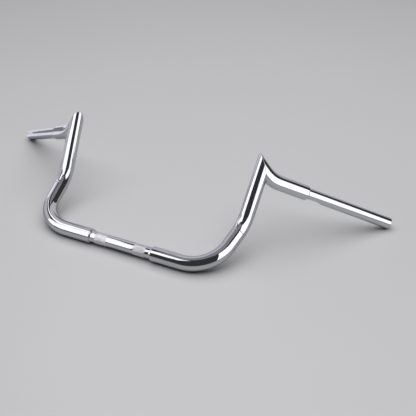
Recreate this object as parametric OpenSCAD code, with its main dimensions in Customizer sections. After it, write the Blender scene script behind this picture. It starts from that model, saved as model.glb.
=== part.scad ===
// Ape hanger handlebar with pointed tops, one rigid bar welded from nine lengths of steel tube.
// It lies as it would come to rest: on the fat tubes beside the clamp section and on both grip ends.
// The origin is the middle of the clamp section. X runs along that section and Z points up.
// Each bend is given as on a tube bender: a length to the bend's corner, a twist and an angle.

/* [Tubing] */
// Outside diameter of the fat tubing
fat_od = 31.75; // [30:0.05:35]
// Outside diameter of the clamp tube and the grip tubes
thin_od = 25.4; // [22:0.05:25.4]
// Gap all round between a thin tube and the fat tube that it is let into
sleeve_gap = 0.125; // [0.05:0.005:0.3]
// Length of thin tube that is hidden in the fat tube at each step
sleeve_depth = 38; // [20:1:38]
// Depth turned off the outside of the hidden length, so that it goes in freely
sleeve_cut = 0.2; // [0.16:0.01:0.3]
// Gap between two cut ends where they are fitted up and welded
weld_gap = 0.02; // [0.02:0.01:0.5]
// Rounding of the outer edge where a tube's cut end shows
edge_r = 1; // [0.4:0.1:1.5]

/* [Clamp section] */
// Length of thin tube that shows between the two shoulders
clamp_w = 147; // [126:0.1:150]
// Distance between the middles of the two knurled bands
knurl_spacing = 93; // [82:0.1:94]
// Width of each knurled band
knurl_w = 27; // [20:0.5:28]
// Height that knurling raises the tube's surface
knurl_rise = 0.15; // [0.05:0.05:0.4]

/* [Bends] */
// Centreline radius of every bend
bend_r = 76.2; // [60:0.1:85]
// Growth of the tube's surfaces, all round, where it is bent
bend_swell = 0.05; // [0.03:0.01:0.1]
// Distance from the middle of the bar to the corner of the lower bend
base_half_w = 206; // [200:1:230]
// Angle of the lower bend
lower_angle = 82.5; // [78:0.5:86]
// Distance from the corner of the lower bend to the corner of the riser's bend
leg_len = 132; // [125:1:150]
// Twist from the lower bend to the riser's bend
riser_twist = 86.5; // [80:0.5:92]
// Angle of the riser's bend
riser_angle = 38; // [30:0.5:42]
// Distance from the corner of the riser's bend to the corner of the pointed top
riser_len = 125; // [110:1:220]

/* [Pointed top] */
// Angle between the riser and the elbow tube at the pointed top
tip_angle = 56; // [50:0.5:64]
// Twist from the riser's bend to the pointed top
tip_twist = 141; // [136:0.5:146]

/* [Elbow and grip] */
// Distance from the corner of the pointed top to the corner of the elbow's bend
elbow_run = 31; // [28:0.5:40]
// Twist from the pointed top to the elbow's bend
elbow_twist = -170; // [-180:0.5:-160]
// Angle of the elbow's bend
elbow_angle = 32.5; // [28:0.5:36]
// Distance from the corner of the elbow's bend to the step where the grip tube starts
arm_len = 88; // [80:1:100]
// Length of grip tube that shows beyond the step
grip_len = 208; // [190:1:230]
// Length of bore at the bar's end that is reamed for a plug
ream_len = 60; // [40:1:100]
// Depth reamed off the bore's wall
ream_cut = 0.2; // [0.16:0.01:0.4]

/* [Wiring dimple] */
// Length of the dimple, from the step along the grip tube
dimple_len = 40; // [30:1:50]
// Depth that the tube's wall is pressed in
dimple_depth = 5; // [3:0.5:5]
// Radius of the pressing tool's rounded nose
dimple_r = 12; // [8:0.5:13]
// Turn of the dimple about the grip tube, from the outside of the elbow's bend
dimple_turn = 0; // [-60:1:60]

/* [Hidden] */
$fn = 96;
eps = 0.01;
fat_r = fat_od / 2;
thin_r = thin_od / 2;
wall = fat_r - thin_r - sleeve_gap;
fat_bore_r = fat_r - wall;
thin_bore_r = thin_r - wall;
sleeve_r = thin_r - sleeve_cut;
// Length that a straight stretch runs into the end of a bend
joint = 0.05;
// Length that the tubes at the pointed top run past its very tip before the mitre is cut
cut_over = 2;
chrome = [0.66, 0.67, 0.69];
satin = [0.60, 0.60, 0.62];

// Distance from the corner of a bend to the place where the tube starts to curve
function tangent(angle) = bend_r * tan(angle / 2);
lower_tangent = tangent(lower_angle);
riser_tangent = tangent(riser_angle);
elbow_tangent = tangent(elbow_angle);
tip_turn = 180 - tip_angle;
// Length from the corner of the pointed top past its very tip
tip_over = fat_r / tan(tip_angle / 2) + cut_over;

// A frame is [place, x, y, z], with z along the tube and x towards the inside of the next bend
function ahead(f, len) = [f[0] + len * f[3], f[1], f[2], f[3]];
function twisted(f, t) = [f[0], f[1] * cos(t) + f[2] * sin(t), f[2] * cos(t) - f[1] * sin(t), f[3]];
function turned(f, a) = [f[0], f[1] * cos(a) - f[3] * sin(a), f[2], f[3] * cos(a) + f[1] * sin(a)];
function corner(f, len, twist, angle) = turned(twisted(ahead(f, len), twist), angle);

// The grip tube's end with the bar upright, worked out corner by corner
upright = [[0, 0, 0], [0, 1, 0], [0, 0, 1], [1, 0, 0]];
at_lower_corner = corner(upright, base_half_w, 0, lower_angle);
at_riser_corner = corner(at_lower_corner, leg_len, riser_twist, riser_angle);
at_tip_corner = corner(at_riser_corner, riser_len, tip_twist, tip_turn);
at_elbow_corner = corner(at_tip_corner, elbow_run, elbow_twist, elbow_angle);
at_grip_end = ahead(at_elbow_corner, arm_len + grip_len);

// Height of the grip end's lowest point when the bar is tipped back by an angle about the clamp axis
function tipped_z(v, angle) = v[1] * sin(angle) + v[2] * cos(angle);
function rim_z(z, slope) = z - edge_r * slope - (thin_r - edge_r) * sqrt(1 - slope * slope) - edge_r;
function grip_end_z(angle) = rim_z(tipped_z(at_grip_end[0], angle), tipped_z(at_grip_end[3], angle));
// The bar tips back until its grip ends touch the floor under the fat tubes, found by halving
function settle(low, high, steps) = steps == 0 ? (low + high) / 2
    : grip_end_z((low + high) / 2) > -fat_r ? settle(low, (low + high) / 2, steps - 1)
    : settle((low + high) / 2, high, steps - 1);
lie_angle = settle(-30, 60, 40);

// Places along the right half of the bar, each with Z along the tube
module past_bend(angle)
    translate([bend_r * (1 - cos(angle)), 0, bend_r * sin(angle)])
        rotate([0, angle, 0]) children();
module from_middle() rotate([lie_angle, 0, 0]) rotate([90, 0, 90]) children();
module at_lower_bend() from_middle() translate([0, 0, base_half_w - lower_tangent]) children();
module at_leg() at_lower_bend() past_bend(lower_angle) children();
module at_seam()
    at_leg() translate([0, 0, leg_len - lower_tangent - riser_tangent])
        rotate([0, 0, riser_twist]) children();
module at_riser() at_seam() past_bend(riser_angle) children();
module at_tip()
    at_riser() translate([0, 0, riser_len - riser_tangent])
        rotate([0, 0, tip_twist]) children();
module at_mitre() at_tip() rotate([0, tip_turn / 2, 0]) children();
module from_tip() at_tip() rotate([0, tip_turn, 0]) rotate([0, 0, elbow_twist]) children();
module at_elbow_bend() from_tip() translate([0, 0, elbow_run - elbow_tangent]) children();
module at_arm() at_elbow_bend() past_bend(elbow_angle) children();
module at_step() at_arm() translate([0, 0, arm_len - elbow_tangent]) children();

// Left pieces are the right pieces mirrored
module side(name) {
    if (name == "left") mirror([1, 0, 0]) children();
    else children();
}

// A straight length of fat tube from z = 0 upwards, and a little into the bend below it
module straight_tube(len) {
    translate([0, 0, -joint]) linear_extrude(len + joint) difference() {
        circle(fat_r);
        circle(fat_bore_r);
    }
}

// The same, with its far end cut square and rounded on its outer edge
module ended_tube(len) {
    rotate_extrude() {
        translate([fat_bore_r, -joint]) square([wall, len + joint - edge_r]);
        translate([fat_bore_r, -joint]) square([wall - edge_r, len + joint]);
        translate([fat_r - edge_r, len - edge_r]) circle(edge_r);
    }
}

// A bend of fat tube that starts at z = 0 and curves towards +X
module bent_tube(angle) {
    translate([bend_r, 0, 0]) rotate([90, 0, 180])
        rotate_extrude(angle = angle) translate([bend_r, 0]) difference() {
            circle(fat_r + bend_swell);
            circle(fat_bore_r - bend_swell);
        }
}

// What the mitre cut takes off beyond the pointed top's middle plane, on one side of it
module mitre_waste(direction) {
    waste = 4 * tip_over;
    at_mitre() translate([0, 0, direction * (waste - weld_gap) / 2]) cube(waste, center = true);
}

// Thin tube with two raised knurled bands, let into both lower tubes
module clamp_tube() {
    full = clamp_w + 2 * sleeve_depth;
    color(chrome) rotate([0, 90, 0]) difference() {
        union() {
            cylinder(r = sleeve_r, h = full, center = true);
            cylinder(r = thin_r, h = clamp_w, center = true);
            for (band = [-1, 1]) translate([0, 0, band * knurl_spacing / 2])
                color(satin) cylinder(r = thin_r + knurl_rise, h = knurl_w, center = true);
        }
        cylinder(r = thin_bore_r, h = full + 2 * eps, center = true);
    }
}

// Fat tube from the shoulder through the lower bend to the weld seam of the riser
module lower_tube() {
    color(chrome) union() {
        at_lower_bend() mirror([0, 0, 1]) ended_tube(base_half_w - lower_tangent - clamp_w / 2);
        at_lower_bend() bent_tube(lower_angle);
        at_leg() straight_tube(leg_len - lower_tangent - riser_tangent - weld_gap);
    }
}

// Fat tube from the weld seam through its bend up to the mitre of the pointed top
module riser_tube() {
    color(chrome) difference() {
        union() {
            at_seam() bent_tube(riser_angle);
            at_riser() straight_tube(riser_len - riser_tangent + tip_over);
        }
        mitre_waste(1);
    }
}

// Fat tube from the mitre through its bend to the step of the grip tube
module tip_elbow() {
    color(chrome) difference() {
        union() {
            at_elbow_bend() mirror([0, 0, 1]) straight_tube(elbow_run - elbow_tangent + tip_over);
            at_elbow_bend() bent_tube(elbow_angle);
            at_arm() ended_tube(arm_len - elbow_tangent);
        }
        mitre_waste(-1);
    }
}

// The pressing tool's nose along the grip tube, grown by an amount
module dimple_nose(grow) {
    reach = thin_r + dimple_r - dimple_depth;
    rotate([0, 0, dimple_turn]) translate([-reach, 0, 0]) {
        translate([0, 0, dimple_r]) cylinder(r = dimple_r + grow, h = dimple_len - 2 * dimple_r);
        for (z = [dimple_r, dimple_len - dimple_r])
            translate([0, 0, z]) sphere(r = dimple_r + grow);
    }
}

// Thin tube let into the elbow, with the wiring dimple pressed in at the step and an open, reamed end
module grip_tube() {
    color(chrome) at_step() difference() {
        rotate_extrude() {
            translate([0, -sleeve_depth]) square([sleeve_r, sleeve_depth + edge_r]);
            square([thin_r, grip_len - edge_r]);
            square([thin_r - edge_r, grip_len]);
            translate([thin_r - edge_r, grip_len - edge_r]) circle(edge_r);
        }
        dimple_nose(0);
        difference() {
            translate([0, 0, -sleeve_depth - eps])
                cylinder(r = thin_bore_r, h = sleeve_depth + grip_len + 2 * eps);
            dimple_nose(wall);
        }
        translate([0, 0, grip_len - ream_len])
            cylinder(r = thin_bore_r + ream_cut, h = ream_len + eps);
    }
}

clamp_tube();
side("left") lower_tube();  // lower_tube_left
side("right") lower_tube();  // lower_tube_right
side("left") riser_tube();  // riser_tube_left
side("right") riser_tube();  // riser_tube_right
side("left") tip_elbow();  // tip_elbow_left
side("right") tip_elbow();  // tip_elbow_right
side("left") grip_tube();  // grip_tube_left
side("right") grip_tube();  // grip_tube_right
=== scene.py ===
"""A chrome-plated ape hanger handlebar lying on a pale studio floor.

Lengths are in millimetres until a mesh is made, and then in metres, in the part's own frame:
X along the clamp section, Z up, origin at the middle of the clamp section.
"""
import math

import bpy
import numpy as np
from mathutils import Matrix, Quaternion, Vector


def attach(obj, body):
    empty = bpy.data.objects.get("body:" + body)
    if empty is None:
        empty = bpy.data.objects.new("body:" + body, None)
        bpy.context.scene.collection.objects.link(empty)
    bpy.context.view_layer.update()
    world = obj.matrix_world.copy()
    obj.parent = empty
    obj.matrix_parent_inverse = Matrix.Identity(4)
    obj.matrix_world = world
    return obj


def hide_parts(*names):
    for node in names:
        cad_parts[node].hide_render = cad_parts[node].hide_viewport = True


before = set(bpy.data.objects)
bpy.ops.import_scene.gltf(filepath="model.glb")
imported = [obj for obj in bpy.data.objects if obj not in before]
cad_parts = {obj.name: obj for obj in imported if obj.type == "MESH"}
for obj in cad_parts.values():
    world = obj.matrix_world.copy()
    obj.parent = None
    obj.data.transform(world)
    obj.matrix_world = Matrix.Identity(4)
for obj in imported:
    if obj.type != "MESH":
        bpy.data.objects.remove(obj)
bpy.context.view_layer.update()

# Tubing
FAT_R = 15.875
FAT_BORE = 12.825
THIN_R = 12.7
THIN_BORE = 9.65
LET_IN = 38.0
LET_IN_CUT = 0.2
EDGE = 1.0
BORE_EDGE = 0.4
HIDDEN_EDGE = 0.4
FACE_GAP = 0.01

# Ground welds at the four steps
STEP_EDGE = 1.4
WELD_RISE = 1.6
SHOULDER_WELD_REACH = 4.2
GRIP_WELD_REACH = 2.4

# Clamp section
CLAMP_HALF = 73.5
BAND_MIDDLE = 46.5
BAND_HALF = 13.5

# Bender's sheet for the right half: lengths from corner to corner, twists and angles
BEND_R = 76.2
LIE_ANGLE = 17.97961
BASE_HALF = 206.0
LOWER_ANGLE = 82.5
LEG = 132.0
RISER_TWIST = 86.5
RISER_ANGLE = 38.0
RISER = 125.0
TIP_TWIST = 141.0
TIP_TURN = 124.0
ELBOW_RUN = 31.0
ELBOW_TWIST = -170.0
ELBOW_ANGLE = 32.5
ARM = 88.0
GRIP = 208.0

# Wiring dimple and reamed bar end
DIMPLE_LEN = 40.0
DIMPLE_DEPTH = 5.0
NOSE_R = 12.0
REAM_LEN = 60.0
REAM_R = 9.85
PRESS_BLEND = 1.6
PRESSED_STATIONS = np.concatenate([np.linspace(0.0, 14.0, 22),
                                   np.linspace(15.0, 25.0, 8),
                                   np.linspace(26.0, 41.0, 24)])

# Points round every tube
AROUND = 144
TURN = np.linspace(0.0, 2.0 * math.pi, AROUND, endpoint=False)
COS = np.cos(TURN)
SIN = np.sin(TURN)


def spin(axis, degrees):
    """A turn about one of the axes, as a 4 x 4 array."""
    return np.array(Matrix.Rotation(math.radians(degrees), 4, axis))


def shift(x, y, z):
    """A move along the axes, as a 4 x 4 array."""
    return np.array(Matrix.Translation((x, y, z)))


def past_bend(degrees):
    """From the start of a bend towards local +X to a place that many degrees round it."""
    a = math.radians(degrees)
    return shift(BEND_R * (1.0 - math.cos(a)), 0.0, BEND_R * math.sin(a)) @ spin("Y", degrees)


def set_back(degrees):
    """Distance from a bend's corner to where the tube starts to curve."""
    return BEND_R * math.tan(math.radians(degrees) / 2.0)


# Places along the right half, each with local Z along the tube
MIDDLE = spin("X", LIE_ANGLE) @ spin("Z", 90) @ spin("X", 90)
LOWER_BEND = MIDDLE @ shift(0, 0, BASE_HALF - set_back(LOWER_ANGLE))
LEG_START = LOWER_BEND @ past_bend(LOWER_ANGLE)
LEG_LEN = LEG - set_back(LOWER_ANGLE) - set_back(RISER_ANGLE)
LEG_END = LEG_START @ shift(0, 0, LEG_LEN)
SEAM = LEG_END @ spin("Z", RISER_TWIST)
RISER_START = SEAM @ past_bend(RISER_ANGLE)
TIP = RISER_START @ shift(0, 0, RISER - set_back(RISER_ANGLE)) @ spin("Z", TIP_TWIST)
ELBOW_START = TIP @ spin("Y", TIP_TURN) @ spin("Z", ELBOW_TWIST)
ELBOW_BEND = ELBOW_START @ shift(0, 0, ELBOW_RUN - set_back(ELBOW_ANGLE))
ARM_START = ELBOW_BEND @ past_bend(ELBOW_ANGLE)
ARM_LEN = ARM - set_back(ELBOW_ANGLE)
STEP = ARM_START @ shift(0, 0, ARM_LEN)
MITRE_NORMAL = (TIP @ spin("Y", TIP_TURN / 2.0))[:3, 2]
MITRE_POINT = TIP[:3, 3]


def ring(place, radius, along=0.0, tilt=0.0):
    """One ring of a tube's skin and its normals.

    Tilt 0 faces outward, 90 along the tube and 180 into the bore.
    """
    a = math.radians(tilt)
    points = np.stack([radius * COS, radius * SIN, along + 0.0 * COS], axis=1)
    facing = np.stack([math.cos(a) * COS, math.cos(a) * SIN, math.sin(a) + 0.0 * COS], axis=1)
    return points @ place[:3, :3].T + place[:3, 3], facing @ place[:3, :3].T


def rim(place, side, outer, bore, edge, bore_edge):
    """A tube's cut end with both edges rounded, from its outer skin to its bore.

    Side is +1 or -1 along the tube.
    """
    rings = []
    for a in np.linspace(0.0, 90.0, 9):
        c, s = math.cos(math.radians(a)), math.sin(math.radians(a))
        rings.append(ring(place, outer - edge + edge * c, side * (edge * s - edge), side * a))
    for a in np.linspace(90.0, 180.0, 7):
        c, s = math.cos(math.radians(a)), math.sin(math.radians(a))
        along = side * (bore_edge * s - bore_edge)
        rings.append(ring(place, bore + bore_edge + bore_edge * c, along, side * a))
    return rings


def step_rim(place, side, reach):
    """The fat tube's end where a thin tube enters.

    It is its rounded edge, the ground weld that runs out on the thin tube, and a hidden foot.
    """
    rings = []
    for a in np.linspace(0.0, 90.0, 11):
        c, s = math.cos(math.radians(a)), math.sin(math.radians(a))
        along = side * (STEP_EDGE * s - STEP_EDGE)
        rings.append(ring(place, FAT_R - STEP_EDGE + STEP_EDGE * c, along, side * a))
    foot = THIN_R + WELD_RISE - 0.03
    for a in np.linspace(90.0, 0.0, 13):
        c, s = math.cos(math.radians(a)), math.sin(math.radians(a))
        tilt = math.degrees(math.atan2(s / reach, c / WELD_RISE))
        rings.append(ring(place, foot - WELD_RISE * c, side * reach * (1.0 - s), side * tilt))
    hidden = THIN_R - 0.5
    rings.append(ring(place, hidden, side * reach, side * 135.0))
    rings.append(ring(place, hidden, 0.0, side * 210.0))
    rings.append(ring(place, FAT_BORE, -side * 0.3, side * 210.0))
    rings.append(ring(place, FAT_BORE, -side * 0.8, 180.0))
    return rings


def along_bend(start, degrees, step=1.5):
    """Places all the way round a bend, both ends among them."""
    count = max(2, int(math.ceil(degrees / step)))
    return [start @ past_bend(a) for a in np.linspace(0.0, degrees, count + 1)]


# Ground-down bead of the butt seam, and the places beside the cut where its rings stop
BEAD_HALF = 2.2
BEAD_RISE = 0.16
BEAD_STOP = 0.12
BEAD_STOP_IN_BEND = 0.16
BUTT_EDGE = 0.1


def bead(distance):
    """Rise and slope of the ground-down weld beside a butt seam."""
    if abs(distance) >= BEAD_HALF:
        return 0.0, 0.0
    phase = math.pi * distance / BEAD_HALF
    rise = BEAD_RISE * 0.5 * (1.0 + math.cos(phase))
    slope = -BEAD_RISE * 0.5 * math.sin(phase) * math.pi / BEAD_HALF
    return rise, slope


def bead_ring(place, distance, along=0.0):
    """One ring of the fat tube at that distance from the seam, with the bead on it."""
    rise, slope = bead(distance)
    return ring(place, FAT_R + rise, along, -math.degrees(math.atan(slope)))


def make_mesh(name, points, normals, faces, marks=None, materials=()):
    """A smooth object from points in millimetres.

    It has its own normals, one for each point or for each corner, and a material number for each face.
    """
    mesh = bpy.data.meshes.new(name)
    mesh.from_pydata((points / 1000.0).tolist(), [], faces)
    for material in materials:
        mesh.materials.append(material)
    mesh.polygons.foreach_set("use_smooth", [True] * len(faces))
    if marks is not None:
        mesh.polygons.foreach_set("material_index", marks)
    if len(normals) == len(points):
        mesh.normals_split_custom_set_from_vertices(normals.tolist())
    else:
        mesh.normals_split_custom_set(normals.tolist())
    mesh.update()
    piece = bpy.data.objects.new(name, mesh)
    bpy.context.scene.collection.objects.link(piece)
    return piece


def tube_faces(count, around):
    """Faces between neighbouring rings, and from the last ring back to the first."""
    faces = []
    for i in range(count):
        low = i * around
        high = ((i + 1) % count) * around
        for j in range(around):
            k = (j + 1) % around
            faces.append((low + j, low + k, high + k, high + j))
    return faces


def mirrored(points, normals, faces):
    """The left half's version of a right-hand skin."""
    flip = np.array([-1.0, 1.0, 1.0])
    return points * flip, normals * flip, [tuple(reversed(face)) for face in faces]


def tube_skin(rings, around=AROUND):
    """Points, normals and faces of one closed wall."""
    points = np.concatenate([r[0] for r in rings])
    normals = np.concatenate([r[1] for r in rings])
    return points, normals, tube_faces(len(rings), around)


def lower_tube_rings():
    """Fat tube from the shoulder through the lower bend to the riser's weld seam."""
    shoulder = MIDDLE @ shift(0, 0, CLAMP_HALF)
    rings = list(reversed(step_rim(shoulder, -1, SHOULDER_WELD_REACH)))
    bend = along_bend(LOWER_BEND, LOWER_ANGLE)
    rings += [ring(p, FAT_R) for p in bend]
    for d in np.linspace(-BEAD_HALF, -BEAD_STOP, 9):
        rings.append(bead_ring(LEG_END, d, d))
    top = LEG_END @ shift(0, 0, -FACE_GAP)
    rings += rim(top, 1, FAT_R + BEAD_RISE, FAT_BORE, BUTT_EDGE, BUTT_EDGE)
    rings += [ring(p, FAT_BORE, 0.0, 180.0) for p in reversed(bend)]
    return rings


def riser_tube_rings():
    """Fat tube from the weld seam through its bend up to the mitre."""
    foot = SEAM @ shift(0, 0, FACE_GAP)
    rings = list(reversed(rim(foot, -1, FAT_R + BEAD_RISE, FAT_BORE, BUTT_EDGE, BUTT_EDGE)))
    for d in np.linspace(BEAD_STOP_IN_BEND, BEAD_HALF, 9):
        rings.append(bead_ring(SEAM @ past_bend(math.degrees(d / BEND_R)), d))
    bend = along_bend(SEAM, RISER_ANGLE)[3:]
    rings += [ring(p, FAT_R) for p in bend]
    for back in (14.0, 9.0, 6.0, 4.5, 3.4, 2.6, 1.9, 1.3, 0.8, 0.4, 0.0):
        rings.append(ground_tip(*mitred_ring(RISER_START, FAT_R, 0.0, back))[:2])
    rings.append(mitred_ring(RISER_START, FAT_BORE, 180.0))
    rings += [ring(p, FAT_BORE, 0.0, 180.0) for p in reversed(bend)]
    return rings


# How far the mitre's point is ground round. It is full where the skins' ways out differ this much.
TIP_GRIND = 2.6
FULL_GRIND_AT = 1.56
RISER_AXIS = TIP[:3, 2]
ELBOW_AXIS = ELBOW_BEND[:3, 2]
POINT_WAY = (RISER_AXIS - ELBOW_AXIS) / np.linalg.norm(RISER_AXIS - ELBOW_AXIS)


def off_axis(points, axis):
    """Each point's distance beyond a fat tube's skin, and the way straight out from it."""
    away = points - MITRE_POINT
    away = away - (away @ axis)[:, None] * axis
    far = np.linalg.norm(away, axis=1)
    return far - FAT_R, away / far[:, None]


def ground_tip(points, normals):
    """The tube's skin with the mitre's sharp point ground round.

    It is found by halving towards the mitre's middle. The last value is the share that is kept of
    each point's distance from there.
    """
    away = points - MITRE_POINT
    low, high = np.full(len(points), 0.7), np.ones(len(points))
    for _ in range(30):
        half = (low + high) / 2.0
        trial = MITRE_POINT + away * half[:, None]
        riser, riser_way = off_axis(trial, RISER_AXIS)
        elbow, elbow_way = off_axis(trial, ELBOW_AXIS)
        spread = 1.0 - (riser_way * elbow_way).sum(axis=1)
        grind = np.clip(TIP_GRIND * spread / FULL_GRIND_AT, 0.02, None)
        meet = np.clip(grind - np.abs(riser - elbow), 0.0, None) / grind
        outside = np.maximum(riser, elbow) + meet * meet * grind / 4.0 > 0.0
        high = np.where(outside, half, high)
        low = np.where(outside, low, half)
    touched = (away @ POINT_WAY > 1.0) & (high < 0.9999) & (meet > 0.0)
    share = np.where(riser > elbow, meet / 2.0, 1.0 - meet / 2.0)[:, None]
    facing = riser_way * (1.0 - share) + elbow_way * share
    facing /= np.linalg.norm(facing, axis=1)[:, None]
    kept = np.where(touched, high, 1.0)
    return MITRE_POINT + away * kept[:, None], np.where(touched[:, None], facing, normals), kept


def mitred_ring(place, radius, tilt, back=0.0):
    """A straight tube's ring where the mitre plane cuts it, or a little way back from there."""
    n = place[:3, :3].T @ MITRE_NORMAL
    far = (np.dot(MITRE_NORMAL, MITRE_POINT - place[:3, 3]) - FACE_GAP) / n[2]
    along = far - back - radius * (COS * n[0] + SIN * n[1]) / n[2]
    return ring(place, radius, along, tilt)


def elbow_skin_point(length, radius):
    """Points of the elbow's skin, one for each direction round it.

    Each has its own length from the bend's start.
    """
    swing = np.clip(length, 0.0, None) / BEND_R
    reach = BEND_R - radius * COS
    along = reach * np.sin(swing) + np.minimum(length, 0.0)
    local = np.stack([BEND_R - reach * np.cos(swing), radius * SIN, along], axis=1)
    facing = np.stack([COS * np.cos(swing), SIN, -COS * np.sin(swing)], axis=1)
    return local @ ELBOW_BEND[:3, :3].T + ELBOW_BEND[:3, 3], facing @ ELBOW_BEND[:3, :3].T


def mitred_lengths(radius):
    """Where the mitre plane cuts the elbow's skin, found by halving."""
    low = np.full(AROUND, -60.0)
    high = np.full(AROUND, BEND_R * math.radians(ELBOW_ANGLE))
    for _ in range(40):
        half = (low + high) / 2.0
        beyond = (elbow_skin_point(half, radius)[0] - MITRE_POINT) @ MITRE_NORMAL > FACE_GAP
        low = np.where(beyond, low, half)
        high = np.where(beyond, half, high)
    return high


def tip_elbow_rings():
    """Fat tube from the mitre through its bend to the step, with a rounded end."""
    bend_len = BEND_R * math.radians(ELBOW_ANGLE)
    rings = []
    cut = mitred_lengths(FAT_R)
    for ahead in (0.0, 0.4, 0.8, 1.3, 1.9, 2.6, 3.4, 4.5, 6.0):
        rings.append(ground_tip(*elbow_skin_point(cut + ahead, FAT_R))[:2])
    cut = cut + 9.0
    for share in np.linspace(0.0, 1.0, 26):
        rings.append(ground_tip(*elbow_skin_point(cut + (bend_len - cut) * share, FAT_R))[:2])
    rings += step_rim(STEP, 1, GRIP_WELD_REACH)
    cut = mitred_lengths(FAT_BORE)
    for share in np.linspace(1.0, 0.0, 26):
        points, facing = elbow_skin_point(cut + (bend_len - cut) * share, FAT_BORE)
        rings.append((points, -facing))
    return rings


def pressed_radius(turn, z, radius, nose):
    """Radius of the thin tube's skin where the nose of the dimpling tool has pressed it in.

    It is found by halving.
    """
    back = THIN_R + NOSE_R - DIMPLE_DEPTH
    beyond = z - np.clip(z, NOSE_R, DIMPLE_LEN - NOSE_R)
    low = np.full(turn.shape, radius - 2.0 * DIMPLE_DEPTH)
    high = np.full(turn.shape, radius)
    for _ in range(34):
        half = (low + high) / 2.0
        across, up_from_nose = half * np.sin(turn), half * np.cos(turn) + back
        gap = np.sqrt(up_from_nose ** 2 + across ** 2 + beyond ** 2) - nose
        a, b = half - radius, -gap
        meet = np.clip(PRESS_BLEND - np.abs(a - b), 0.0, None) / PRESS_BLEND
        outside = np.maximum(a, b) + meet * meet * PRESS_BLEND / 4.0 > 0.0
        high = np.where(outside, half, high)
        low = np.where(outside, low, half)
    return high


def pressed_ring(z, radius, nose, facing_out):
    """One ring of the thin tube through the dimple, with normals from its slopes."""
    step = 0.02
    r = pressed_radius(TURN, z, radius, nose)
    ahead = pressed_radius(TURN + step / radius, z, radius, nose)
    behind = pressed_radius(TURN - step / radius, z, radius, nose)
    round_slope = (ahead - behind) / (2.0 * step / radius)
    further = pressed_radius(TURN, z + step, radius, nose)
    nearer = pressed_radius(TURN, z - step, radius, nose)
    long_slope = (further - nearer) / (2.0 * step)
    facing = np.stack([COS + round_slope / r * SIN, SIN - round_slope / r * COS, -long_slope], axis=1)
    facing /= np.linalg.norm(facing, axis=1)[:, None]
    points = np.stack([r * COS, r * SIN, z + 0.0 * COS], axis=1)
    if not facing_out:
        facing = -facing
    return points @ STEP[:3, :3].T + STEP[:3, 3], facing @ STEP[:3, :3].T


def grip_tube_rings():
    """Thin tube let into the elbow, dimpled beside the step, with a rounded and reamed open end."""
    inner = STEP @ shift(0, 0, -LET_IN)
    end = STEP @ shift(0, 0, GRIP)
    rings = list(reversed(rim(inner, -1, THIN_R - LET_IN_CUT, THIN_BORE, HIDDEN_EDGE, 0.3)))
    rings.append(ring(STEP, THIN_R - LET_IN_CUT, -2.0))
    rings.append(ring(STEP, THIN_R, -1.0))
    rings += [pressed_ring(z, THIN_R, NOSE_R, True) for z in PRESSED_STATIONS]
    rings += rim(end, 1, THIN_R, REAM_R, EDGE, BORE_EDGE)
    floor_of_ream = STEP @ shift(0, 0, GRIP - REAM_LEN)
    rings.append(ring(floor_of_ream, REAM_R, 0.0, 180.0))
    rings.append(ring(floor_of_ream, THIN_BORE, -0.4, 180.0))
    wall = THIN_R - THIN_BORE
    rings += [pressed_ring(z, THIN_BORE, NOSE_R + wall, False) for z in reversed(PRESSED_STATIONS[::2])]
    return rings


KNURL_ROWS = 24
KNURL_ROOT = THIN_R
KNURL_TOP = THIN_R + 0.14


class ClampSkin:
    """The thin clamp tube as one closed skin, with its own normal at every corner of every face."""

    def __init__(self):
        self.place = spin("Y", 90)
        self.points, self.normals, self.faces, self.facing, self.marks = [], [], [], [], []

    def add_ring(self, radius, along, tilt=0.0, count=AROUND, start=0.0):
        """Adds a ring and gives back the number of its first point."""
        first = len(self.points)
        turn = 2.0 * math.pi * (np.arange(count) + start) / count
        up, out = math.sin(math.radians(tilt)), math.cos(math.radians(tilt))
        points = np.stack([radius * np.cos(turn), radius * np.sin(turn), along + 0.0 * turn], axis=1)
        normals = np.stack([out * np.cos(turn), out * np.sin(turn), up + 0.0 * turn], axis=1)
        self.points += list(points @ self.place[:3, :3].T)
        self.normals += list(normals @ self.place[:3, :3].T)
        return first

    def join(self, low, high):
        """Smooth faces between two rings."""
        for j in range(AROUND):
            k = (j + 1) % AROUND
            face = (low + j, low + k, high + k, high + j)
            self.faces.append(face)
            self.facing += [self.normals[v] for v in face]
            self.marks.append(0)

    def facet(self, *face):
        """One flat facet of the knurling."""
        a, b, c = (self.points[v] for v in face)
        flat = np.cross(b - a, c - a)
        flat /= np.linalg.norm(flat)
        self.faces.append(face)
        self.facing += [flat] * 3
        self.marks.append(1)

    def knurl(self, low, high, middle):
        """Rows of pressed diamonds between the rings at a band's edges, four facets to a diamond."""
        half = AROUND // 2
        step = 2.0 * BAND_HALF / KNURL_ROWS
        rows = [low]
        for row in range(1, KNURL_ROWS):
            along = middle - BAND_HALF + row * step
            rows.append(self.add_ring(KNURL_ROOT, along, 0.0, half, 0.5 * (row % 2)))
        rows.append(high)

        def spot(row, j):
            """The point of a row at one of the ring's places."""
            j = j % AROUND
            return rows[row] + (j if row in (0, KNURL_ROWS) else j // 2)

        for row in range(1, KNURL_ROWS):
            shift_on = (row + 1) % 2
            along = middle - BAND_HALF + row * step
            peaks = self.add_ring(KNURL_TOP, along, 0.0, half, 0.5 * shift_on)
            for k in range(half):
                j = 2 * k + shift_on
                corners = (spot(row, j - 1), spot(row - 1, j), spot(row, j + 1), spot(row + 1, j))
                for n in range(4):
                    self.facet(corners[n], corners[(n + 1) % 4], peaks + k)
        for k in range(half):
            j = 2 * k + 1
            self.facet(spot(0, j - 1), spot(0, j), spot(1, j))
            self.facet(spot(0, j), spot(0, j + 1), spot(1, j))
            self.facet(spot(KNURL_ROWS - 1, j), spot(KNURL_ROWS, j), spot(KNURL_ROWS, j - 1))
            self.facet(spot(KNURL_ROWS - 1, j), spot(KNURL_ROWS, j + 1), spot(KNURL_ROWS, j))


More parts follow.
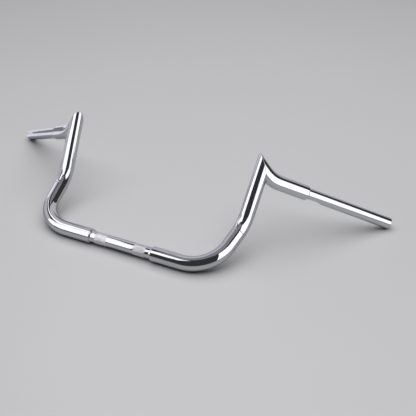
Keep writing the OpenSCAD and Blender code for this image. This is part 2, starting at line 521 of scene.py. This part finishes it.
def clamp_tube_skin():
    """The clamp tube from one hidden end over both bands to the other, and back through the bore."""
    skin = ClampSkin()
    half = CLAMP_HALF + LET_IN
    let_in_r = THIN_R - LET_IN_CUT
    profile = [(THIN_BORE, -half + HIDDEN_EDGE, 180.0),
               (THIN_BORE + HIDDEN_EDGE, -half, -90.0),
               (THIN_R - 0.6, -half, -90.0),
               (let_in_r, -half + HIDDEN_EDGE, 0.0),
               (let_in_r, -CLAMP_HALF - 2.0, 0.0),
               (THIN_R, -CLAMP_HALF - 1.0, 0.0)]
    rings = [skin.add_ring(*each) for each in profile]
    for low, high in zip(rings, rings[1:]):
        skin.join(low, high)
    last = rings[-1]
    for middle in (-BAND_MIDDLE, BAND_MIDDLE):
        edges = []
        for side in (-1.0, 1.0):
            groove = [(THIN_R, BAND_HALF + 0.9, 0.0),
                      (THIN_R - 0.1, BAND_HALF + 0.6, -45.0 * side),
                      (KNURL_ROOT, BAND_HALF + 0.3, 0.0),
                      (KNURL_ROOT, BAND_HALF, 0.0)]
            groove = [(radius, middle + side * far, tilt) for radius, far, tilt in groove]
            rings = [skin.add_ring(*each) for each in (groove if side < 0.0 else reversed(groove))]
            for low, high in zip(rings, rings[1:]):
                skin.join(low, high)
            edges.append(rings)
        skin.join(last, edges[0][0])
        skin.knurl(edges[0][-1], edges[1][0], middle)
        last = edges[1][-1]
    rings = [last] + [skin.add_ring(radius, -along, -tilt if abs(tilt) < 100.0 else tilt)
                      for radius, along, tilt in reversed(profile)]
    for low, high in zip(rings, rings[1:]):
        skin.join(low, high)
    skin.join(rings[-1], 0)
    return skin


# Weld run of the mitre: its round where it is ground almost flush, and what the fillet adds to it
WELD_COUNT = 180
WELD_AROUND = 20
WELD_ROUND = 0.55
WELD_PROUD = 0.14
FILLET_ROUND = 2.3
FILLET_PROUD = 0.9


def mitre_weld_skin():
    """The weld run round the mitre, left as a fillet in the crotch between the tubes."""
    n = TIP[:3, :3].T @ MITRE_NORMAL
    turn = np.linspace(0.0, 2.0 * math.pi, WELD_COUNT, endpoint=False)
    inward = np.clip(np.cos(turn), 0.0, None) ** 3
    size = WELD_ROUND + FILLET_ROUND * inward
    reach = FAT_R - size + WELD_PROUD + FILLET_PROUD * inward
    line = np.stack([reach * np.cos(turn), reach * np.sin(turn),
                     -reach * (np.cos(turn) * n[0] + np.sin(turn) * n[1]) / n[2]], axis=1)
    ahead = np.roll(line, -1, axis=0) - np.roll(line, 1, axis=0)
    ahead /= np.linalg.norm(ahead, axis=1)[:, None]
    out = np.stack([np.cos(turn), np.sin(turn), 0.0 * turn], axis=1)
    out -= (out * ahead).sum(axis=1)[:, None] * ahead
    out /= np.linalg.norm(out, axis=1)[:, None]
    side = np.cross(ahead, out)
    on_skin = line * (FAT_R / reach)[:, None]
    kept = ground_tip(on_skin @ TIP[:3, :3].T + TIP[:3, 3], on_skin)[2]
    line = line * kept[:, None]
    rings = []
    a = np.linspace(0.0, 2.0 * math.pi, WELD_AROUND, endpoint=False)[:, None]
    for k in range(WELD_COUNT):
        facing = np.cos(a) * out[k] + np.sin(a) * side[k]
        points = line[k] + size[k] * facing
        rings.append((points @ TIP[:3, :3].T + TIP[:3, 3], facing @ TIP[:3, :3].T))
    return tube_skin(rings, WELD_AROUND)


class Wire:
    """One socket of a material in the making. Arithmetic on it adds Math nodes."""

    def __init__(self, tree, socket):
        self.tree = tree
        self.socket = socket

    def math(self, operation, first, second):
        """A Math node fed by two wires or numbers."""
        node = self.tree.nodes.new("ShaderNodeMath")
        node.operation = operation
        for place, value in zip(node.inputs, (first, second)):
            connect(self.tree, place, value)
        return Wire(self.tree, node.outputs["Value"])

    def __add__(self, other):
        return self.math("ADD", self, other)

    def __radd__(self, other):
        return self.math("ADD", other, self)

    def __mul__(self, other):
        return self.math("MULTIPLY", self, other)


def connect(tree, place, value):
    """Links a wire to a socket, or sets the socket's own value."""
    if isinstance(value, Wire):
        tree.links.new(value.socket, place)
    else:
        place.default_value = value


class Finish:
    """A material built node by node around one Principled shader."""

    def __init__(self, name):
        self.material = bpy.data.materials.new(name)
        self.material.use_nodes = True
        self.tree = self.material.node_tree
        self.shader = self.tree.nodes["Principled BSDF"]

    def node(self, kind, settings=None, inputs=None, output=0):
        """Adds a node and gives back one of its outputs."""
        made = self.tree.nodes.new(kind)
        for key, value in (settings or {}).items():
            setattr(made, key, value)
        for key, value in (inputs or {}).items():
            connect(self.tree, made.inputs[key], value)
        return Wire(self.tree, made.outputs[output])

    def place_on_bar(self):
        """The place on the piece, in metres in the part's own frame."""
        return self.node("ShaderNodeTexCoord", output="Object")

    def noise(self, where, scale, detail, roughness):
        inputs = {"Vector": where, "Scale": scale, "Detail": detail, "Roughness": roughness}
        return self.node("ShaderNodeTexNoise", {"noise_dimensions": "3D"}, inputs, "Fac")

    def spread(self, value, low, high, to_low=0.0, to_high=1.0):
        """The value between low and high, stretched smoothly between two other numbers."""
        inputs = {"Value": value, "From Min": low, "From Max": high, "To Min": to_low, "To Max": to_high}
        return self.node("ShaderNodeMapRange", {"interpolation_type": "SMOOTHSTEP"}, inputs)

    def colour_mix(self, share, first, second):
        """The first colour at share 0, the second at share 1."""
        made = self.tree.nodes.new("ShaderNodeMix")
        made.data_type = "RGBA"
        connect(self.tree, made.inputs[0], share)
        connect(self.tree, made.inputs[6], first)
        connect(self.tree, made.inputs[7], second)
        return Wire(self.tree, made.outputs[2])

    def shade(self, **values):
        """Sets or links sockets of the Principled shader by name."""
        for key, value in values.items():
            connect(self.tree, self.shader.inputs[key.replace("_", " ")], value)

    def relief(self, height, distance):
        """Fine bumps, as deep as the distance in metres."""
        bump = self.node("ShaderNodeBump", {}, {"Height": height, "Distance": distance}, "Normal")
        connect(self.tree, self.shader.inputs["Normal"], bump)


def bright_chrome():
    """Bright chrome over polished steel: faint polishing waves, haze and a little dust."""
    finish = Finish("bright_chrome")
    where = finish.place_on_bar()
    haze = finish.spread(finish.noise(where, 26.0, 4.0, 0.6), 0.45, 0.75)
    specks = finish.spread(finish.noise(where, 900.0, 2.0, 0.5), 0.66, 0.80)
    waves = finish.noise(where, 38.0, 1.0, 0.4)
    clean, dulled = (0.57, 0.575, 0.595, 1.0), (0.50, 0.505, 0.52, 1.0)
    finish.shade(Metallic=1.0,
                 Base_Color=finish.colour_mix(haze * 0.5 + specks * 0.3, clean, dulled),
                 Roughness=0.035 + haze * 0.05 + specks * 0.12,
                 Specular_Tint=(0.60, 0.62, 0.66, 1.0))
    finish.relief(waves, 0.00006)
    return finish.material


def satin_knurl():
    """Chrome over rolled knurling, a little duller in patches."""
    finish = Finish("satin_knurl")
    where = finish.place_on_bar()
    grain = finish.noise(where, 1400.0, 3.0, 0.6)
    wear = finish.spread(finish.noise(where, 90.0, 3.0, 0.5), 0.40, 0.70)
    fresh, worn = (0.66, 0.655, 0.685, 1.0), (0.57, 0.565, 0.59, 1.0)
    finish.shade(Metallic=1.0,
                 Base_Color=finish.colour_mix(wear, fresh, worn),
                 Roughness=0.26 + wear * 0.06 + grain * 0.06)
    finish.relief(grain, 0.00004)
    return finish.material


def bare_bore():
    """Unplated steel inside the tubes, with a film of grey oxide."""
    finish = Finish("bare_bore")
    where = finish.place_on_bar()
    film = finish.spread(finish.noise(where, 120.0, 4.0, 0.6), 0.35, 0.65)
    steel, oxide = (0.30, 0.29, 0.28, 1.0), (0.17, 0.14, 0.12, 1.0)
    finish.shade(Metallic=finish.spread(film, 0.0, 1.0, 0.9, 0.55),
                 Base_Color=finish.colour_mix(film, steel, oxide),
                 Roughness=0.42 + film * 0.25)
    finish.relief(film, 0.00008)
    return finish.material


def floor_paint():
    """Pale matt paint on the studio floor."""
    finish = Finish("floor_paint")
    where = finish.place_on_bar()
    cloud = finish.noise(where, 1.4, 3.0, 0.5)
    grain = finish.noise(where, 260.0, 2.0, 0.5)
    pale, paler = (0.57, 0.57, 0.58, 1.0), (0.62, 0.62, 0.63, 1.0)
    finish.shade(Base_Color=finish.colour_mix(cloud * 0.6 + grain * 0.2, pale, paler),
                 Roughness=0.34 + grain * 0.08)
    finish.relief(grain, 0.00001)
    return finish.material


CHROME = bright_chrome()
KNURL = satin_knurl()
BORE = bare_bore()


def bore_marks(rings, faces):
    """Material number 1 for each face whose rings all face into the bore, 0 for the plated ones."""
    inward = [float(np.dot(points.mean(axis=0) - points[0], normals[0])) > 0.0
              for points, normals in rings]
    return [1 if all(inward[v // AROUND] for v in face) else 0 for face in faces]


def finish_piece(piece, node):
    """Puts a piece in the place of its solid."""
    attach(piece, "root")
    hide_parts(node)


def make_pair(name, rings):
    """The right-hand piece and its mirror image on the left."""
    skin = tube_skin(rings)
    marks = bore_marks(rings, skin[2])
    right = make_mesh(name + "_right_dressed", *skin, marks, (CHROME, BORE))
    left = make_mesh(name + "_left_dressed", *mirrored(*skin), marks, (CHROME, BORE))
    finish_piece(right, name + "_right")
    finish_piece(left, name + "_left")


make_pair("lower_tube", lower_tube_rings())
make_pair("riser_tube", riser_tube_rings())
make_pair("tip_elbow", tip_elbow_rings())
make_pair("grip_tube", grip_tube_rings())

weld = mitre_weld_skin()
for side, skin in (("right", weld), ("left", mirrored(*weld))):
    piece = make_mesh("mitre_weld_" + side, *skin, None, (CHROME,))
    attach(piece, "root")

thin_skin = clamp_tube_skin()
clamp = make_mesh("clamp_tube_dressed", np.array(thin_skin.points), np.array(thin_skin.facing),
                  thin_skin.faces, thin_skin.marks, (CHROME, KNURL))
finish_piece(clamp, "clamp_tube")


FLOOR_HEIGHT = -15.925
FLOOR_RADIUS = 9000.0
FLOOR_SIDES = 96


def make_floor():
    """A round floor under the bar, level with its lowest tubes."""
    turn = np.linspace(0.0, 2.0 * math.pi, FLOOR_SIDES, endpoint=False)
    edge = np.stack([FLOOR_RADIUS * np.cos(turn), FLOOR_RADIUS * np.sin(turn),
                     0.0 * turn + FLOOR_HEIGHT], axis=1)
    points = np.concatenate([[[0.0, 0.0, FLOOR_HEIGHT]], edge])
    normals = np.tile([0.0, 0.0, 1.0], (FLOOR_SIDES + 1, 1))
    faces = [(0, 1 + k, 1 + (k + 1) % FLOOR_SIDES) for k in range(FLOOR_SIDES)]
    floor = make_mesh("studio_floor", points, normals, faces, None, (floor_paint(),))
    return floor


floor = make_floor()


def lit_things(name, things):
    """A group of objects that a lamp lights."""
    group = bpy.data.collections.new(name)
    for thing in things:
        group.objects.link(thing)
    return group


meshes = [each for each in bpy.context.scene.objects if each.type == "MESH"]
BAR_PIECES = lit_things("bar_pieces", [each for each in meshes if each != floor])
FLOOR_ONLY = lit_things("floor_only", [floor])
LAVENDER = (0.95, 0.92, 1.0)
WHITE = (1.0, 1.0, 1.0)
UP = Vector((0.0, 0.0, 1.0))


def hang_lamp(name, middle, away, width, height, brightness, colour, lights, turned=0.0):
    """A rectangular soft lamp whose back faces the given way.

    It is turned by so many degrees on its own axis. Brightness 1 looks white.
    """
    data = bpy.data.lights.new(name, "AREA")
    data.shape = "RECTANGLE"
    data.size = width
    data.size_y = height
    data.energy = brightness * math.pi * width * height
    data.color = colour
    lamp = bpy.data.objects.new(name, data)
    lamp.location = middle
    own_turn = Quaternion((0.0, 0.0, 1.0), math.radians(turned))
    lamp.rotation_euler = (away.to_track_quat("Z", "Y") @ own_turn).to_euler()
    lamp.visible_camera = False
    lamp.light_linking.receiver_collection = lights
    bpy.context.scene.collection.objects.link(lamp)


def standing_panel(name, near, far, bottom, top, brightness, colour=WHITE):
    """An upright soft panel between two places on the floor, lit on the side of the bar."""
    along = Vector((far[0] - near[0], far[1] - near[1], 0.0))
    middle = Vector(((near[0] + far[0]) / 2.0, (near[1] + far[1]) / 2.0, (bottom + top) / 2.0))
    away = Vector((along.y, -along.x, 0.0)).normalized()
    if away.x * middle.x + away.y * middle.y < 0.0:
        away = -away
    hang_lamp(name, middle, away, along.length, top - bottom, brightness, colour, BAR_PIECES)


PANEL = 1.8
CARD = 0.7
GRIP_CARD = 1.0
GRIP_CARD_HEIGHT = -0.012

# Upright panels and cards: two places on the floor, bottom, top, brightness and colour
standing_panel("left_panel_upper", (-0.475, -0.132), (-0.09, -0.317), 0.36, 1.15, PANEL)
standing_panel("left_panel_lower", (-0.52, -0.11), (-0.12, -0.303), 0.05, 0.36, PANEL)
standing_panel("left_panel_wing", (-0.60, 0.20), (-0.52, -0.11), 0.50, 1.15, PANEL)
standing_panel("right_panel", (0.60, -0.16), (1.15, 0.55), 0.02, 1.30, PANEL)
standing_panel("back_card", (-2.1, 0.67), (1.02, 2.46), 0.02, 2.60, CARD, LAVENDER)
standing_panel("left_card", (-1.75, -1.20), (-1.55, 0.95), 0.02, 1.20, CARD, LAVENDER)

# Lamp over the bar, two cards lying beside the left grip, and the lamp over the floor
hang_lamp("top_lamp", Vector((-0.1, 0.4, 1.9)), UP, 1.3, 1.3, 0.3, LAVENDER, BAR_PIECES)
hang_lamp("grip_card_near", Vector((-0.6725, 0.293, GRIP_CARD_HEIGHT)), -UP,
          0.355, 0.105, GRIP_CARD, LAVENDER, BAR_PIECES)
hang_lamp("grip_card_far", Vector((-0.770, 0.6456, GRIP_CARD_HEIGHT)), -UP,
          0.67, 0.25, GRIP_CARD, LAVENDER, BAR_PIECES, 38.3)
hang_lamp("floor_lamp", Vector((0.0, 0.6, 2.6)), UP, 4.4, 4.4, 1.95, WHITE, FLOOR_ONLY)

# The dark surroundings give the chrome its dark bands
world = bpy.data.worlds.new("studio_dark")
world.use_nodes = True
world.node_tree.nodes["Background"].inputs["Color"].default_value = (0.05, 0.05, 0.055, 1.0)
world.node_tree.nodes["Background"].inputs["Strength"].default_value = 1.0
bpy.context.scene.world = world


CAMERA_PLACE = (0.75631, -1.16186, 0.957355)
CAMERA_YAW = -25.59
CAMERA_PITCH = 32.17
CAMERA_ROLL = 0.40
CAMERA_LENS = 69.056


def make_camera():
    """The camera that took the picture, worked out from the bar's outlines."""
    yaw, pitch, roll = (math.radians(angle) for angle in (CAMERA_YAW, CAMERA_PITCH, CAMERA_ROLL))
    ahead = Vector((math.sin(yaw) * math.cos(pitch), math.cos(yaw) * math.cos(pitch), -math.sin(pitch)))
    right = ahead.cross(UP).normalized()
    above = right.cross(ahead)
    rolled_right = right * math.cos(roll) + above * math.sin(roll)
    rolled_up = above * math.cos(roll) - right * math.sin(roll)
    data = bpy.data.cameras.new("photo_camera")
    data.sensor_width = 36.0
    data.lens = CAMERA_LENS
    data.clip_start = 0.05
    data.clip_end = 60.0
    camera = bpy.data.objects.new("photo_camera", data)
    turn = Matrix((rolled_right, rolled_up, -ahead)).transposed()
    camera.matrix_world = Matrix.Translation(CAMERA_PLACE) @ turn.to_4x4()
    bpy.context.scene.collection.objects.link(camera)
    bpy.context.scene.camera = camera


make_camera()
bpy.context.scene.view_settings.view_transform = "Standard"
